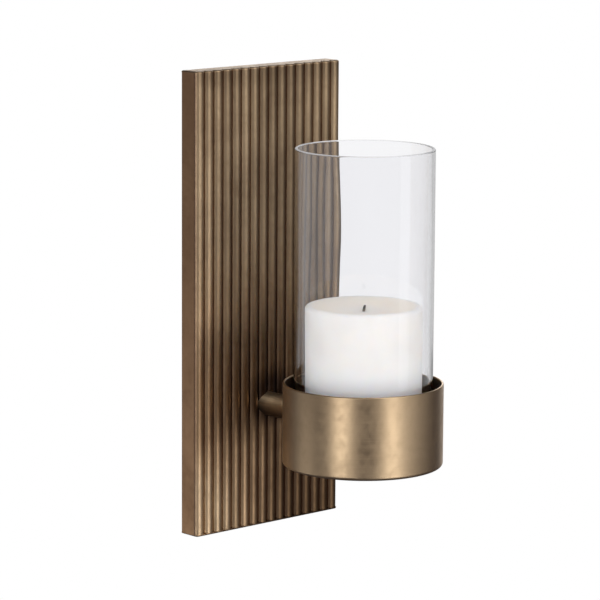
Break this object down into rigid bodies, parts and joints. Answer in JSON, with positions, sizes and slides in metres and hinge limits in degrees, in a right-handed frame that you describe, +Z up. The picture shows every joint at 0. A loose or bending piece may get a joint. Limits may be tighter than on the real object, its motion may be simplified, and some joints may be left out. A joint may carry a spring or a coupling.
{
  "type": "wall sconce candle holder",
  "caption": "Tall ribbed brass wall plate with a short round arm, a plain cup, an open clear glass cylinder and a white pillar candle with a dished top.",
  "frame": {"origin": "centre of the plate's rear plane, on the wall, midway between the two keyhole entries", "axes": "+Z up; +Y into the wall; the ribs, arm and cup face -Y; +X to the right of someone facing the plate"},
  "size_m": [0.127, 0.158, 0.307],
  "materials": {
    "antique_brass": "brushed brass with a brown antique patina",
    "zinc_steel": "dull zinc plate",
    "clear_glass": "clear and polished",
    "wax": "smooth white candle wax",
    "cotton_wick": "braided cotton, burnt at the tip",
    "soft_ring": "translucent silicone"
  },
  "bodies": {
    "sconce": {"fluted_panel": "antique_brass", "left_side": "antique_brass", "right_side": "antique_brass", "top_cap": "antique_brass", "bottom_cap": "antique_brass", "arm_crossbar": "zinc_steel", "upper_hanger": "zinc_steel", "lower_hanger": "zinc_steel", "arm_rod": "antique_brass", "arm_screw": "zinc_steel", "arm_lock_washer": "zinc_steel", "locating_pin": "zinc_steel", "candle_cup": "antique_brass", "cup_screw": "antique_brass", "saddle_washer": "antique_brass", "candle_plate": "antique_brass", "plate_rivet": "antique_brass", "glass_gasket": "soft_ring"},
    "glass": {"glass_hurricane": "clear_glass"},
    "candle": {"candle": "wax", "wick": "cotton_wick"}
  },
  "joints": [
    {"name": "glass_lift", "type": "slide", "parent": "sconce", "child": "glass", "axis": [0, 0, 1], "range_m": [0, 0.12]},
    {"name": "candle_lift", "type": "slide", "parent": "sconce", "child": "candle", "axis": [0, 0, 1], "range_m": [0, 0.21]}
  ]
}
